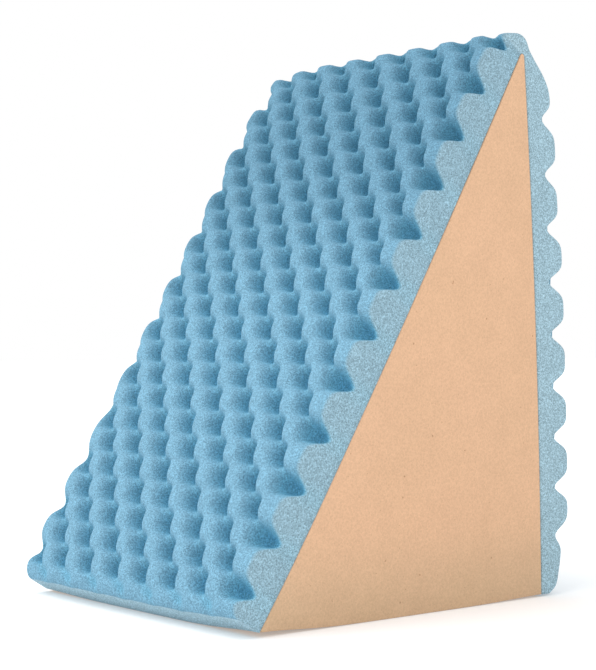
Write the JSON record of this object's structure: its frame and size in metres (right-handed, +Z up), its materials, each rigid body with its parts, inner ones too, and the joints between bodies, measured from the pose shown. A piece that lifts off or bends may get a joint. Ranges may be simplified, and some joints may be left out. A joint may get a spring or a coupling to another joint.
{
  "type": "wedge pillow",
  "caption": "Triangular foam wedge pillow with a convoluted foam sheet over its slope, top edge and upright back.",
  "frame": {"origin": "middle of the bottom of the whole pillow's box, on the surface it stands on", "axes": "+Z up, +Y from the thin toe towards the upright back, X along the rows of bumps"},
  "size_m": [0.326, 0.4062, 0.5202],
  "materials": {
    "core_foam": "matt open-cell foam, smooth cut, peach",
    "sheet_foam": "matt open-cell convoluted foam, light blue"
  },
  "bodies": {
    "root": {"core": "core_foam", "topper": "sheet_foam"}
  },
  "joints": []
}
